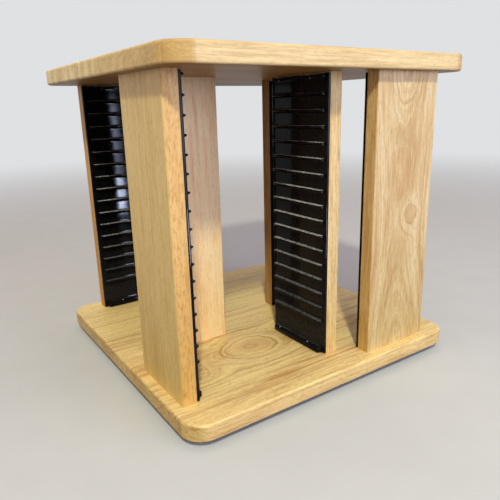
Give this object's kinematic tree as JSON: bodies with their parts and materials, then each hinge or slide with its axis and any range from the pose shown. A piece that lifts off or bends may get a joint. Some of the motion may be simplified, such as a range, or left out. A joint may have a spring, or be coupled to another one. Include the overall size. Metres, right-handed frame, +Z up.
{
  "type": "rotating media tower",
  "caption": "Square revolving wooden tower for flat disc cases, with four side bays in a pinwheel, ribbed black racks and a turntable under the base board.",
  "frame": {"origin": "centre of the underside of the feet, on the turning axis", "axes": "+Z up along the turning axis, X and Y square to the board's sides; the front bay opens towards -Y"},
  "size_m": [0.432, 0.432, 0.4141],
  "materials": {
    "varnished_wood": "pale hardwood, edge-glued, clear satin to gloss varnish",
    "black_rack_plastic": "glossy moulded black plastic",
    "plated_steel": "zinc-plated pressed steel",
    "white_nylon": "natural nylon",
    "foot_rubber": "matt black rubber"
  },
  "bodies": {
    "stand": {"turntable_lower_disc": "plated_steel", "turntable_rivet": "plated_steel", "rubber_feet": "foot_rubber"},
    "roller_set": {"turntable_cage": "white_nylon", "turntable_rollers": "white_nylon"},
    "rack": {"turntable_upper_disc": "plated_steel", "top_board": "varnished_wood", "base_board": "varnished_wood", "slat_front_outer": "varnished_wood", "slat_front_inner": "varnished_wood", "slat_right_outer": "varnished_wood", "slat_right_inner": "varnished_wood", "slat_back_outer": "varnished_wood", "slat_back_inner": "varnished_wood", "slat_left_outer": "varnished_wood", "slat_left_inner": "varnished_wood", "rack_front_outer": "black_rack_plastic", "rack_front_inner": "black_rack_plastic", "rack_right_outer": "black_rack_plastic", "rack_right_inner": "black_rack_plastic", "rack_back_outer": "black_rack_plastic", "rack_back_inner": "black_rack_plastic", "rack_left_outer": "black_rack_plastic", "rack_left_inner": "black_rack_plastic"}
  },
  "joints": [
    {"name": "turntable_spin", "type": "hinge", "parent": "stand", "child": "rack", "pos_m": [0, 0, 0.0101], "axis": [0, 0, 1], "continuous": true},
    {"name": "roller_cage_spin", "type": "hinge", "parent": "stand", "child": "roller_set", "pos_m": [0, 0, 0.00655], "axis": [0, 0, 1], "continuous": true}
  ],
  "couplings": [
    {"joint": "roller_cage_spin", "follows": "turntable_spin", "ratio": 0.5}
  ]
}
